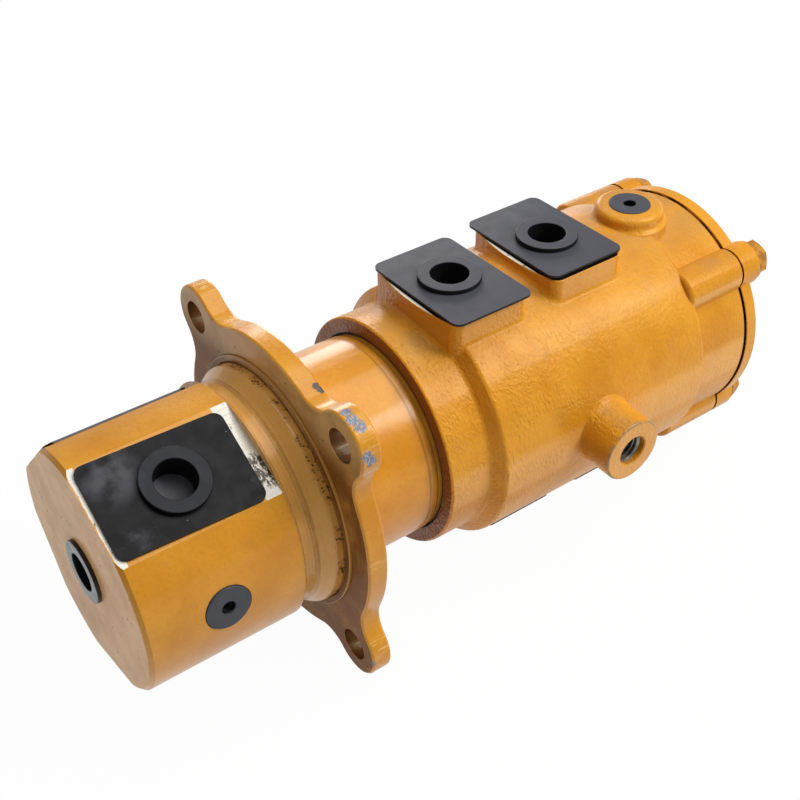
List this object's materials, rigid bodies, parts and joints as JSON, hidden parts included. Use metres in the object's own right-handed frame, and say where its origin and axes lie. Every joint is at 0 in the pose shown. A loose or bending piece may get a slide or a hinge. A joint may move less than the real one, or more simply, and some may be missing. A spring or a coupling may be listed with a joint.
{
  "type": "hydraulic rotary union",
  "caption": "Flanged shaft turning in a ported housing, passing hydraulic oil between a fixed and a slewing frame; ports are closed with plastic shipping caps.",
  "frame": {"origin": "centre of the flange's bolt circle on its mounting face", "axes": "+X along the turning axis from the shaft's head to the cover, +Z the way the upper port pads face"},
  "size_m": [0.414, 0.1807, 0.172],
  "materials": {
    "shaft_paint": "gloss",
    "housing_paint": "gloss",
    "cover_paint": "gloss",
    "bolt_paint": "satin",
    "bare_steel": "brushed",
    "bolt_steel": "satin",
    "bronze": "satin",
    "seal_rubber": "matte",
    "slipper_plastic": "matte",
    "charcoal_plastic": "matte",
    "head_cap_plastic": "matte",
    "black_plastic": "matte",
    "slate_plastic": "matte"
  },
  "bodies": {
    "shaft_body": {"shaft": "shaft_paint", "thrust_plate": "bare_steel", "thrust_plate_bolts": "bolt_steel", "gallery_plugs": "bolt_steel", "head_port_cap_a": "head_cap_plastic", "head_port_cap_b": "head_cap_plastic", "head_port_cap_c": "head_cap_plastic", "head_port_cap_d": "head_cap_plastic", "head_drain_plug": "slate_plastic", "axial_port_plug": "black_plastic"},
    "housing_body": {"housing": "housing_paint", "cover": "cover_paint", "cover_bolts": "bolt_paint", "cover_washers": "bolt_paint", "cover_o_ring": "seal_rubber", "slipper_seals": "slipper_plastic", "seal_energizers": "seal_rubber", "dust_seal": "seal_rubber", "front_thrust_washer": "bronze", "rear_thrust_washer": "bronze", "upper_port_cap_a": "charcoal_plastic", "upper_port_cap_b": "charcoal_plastic", "lower_port_cap_a": "charcoal_plastic", "lower_port_cap_b": "charcoal_plastic", "drain_boss_plug": "slate_plastic"}
  },
  "joints": [
    {"name": "swivel", "type": "hinge", "parent": "shaft_body", "child": "housing_body", "pos_m": [0.17, 0, 0], "axis": [1, 0, 0], "continuous": true}
  ]
}
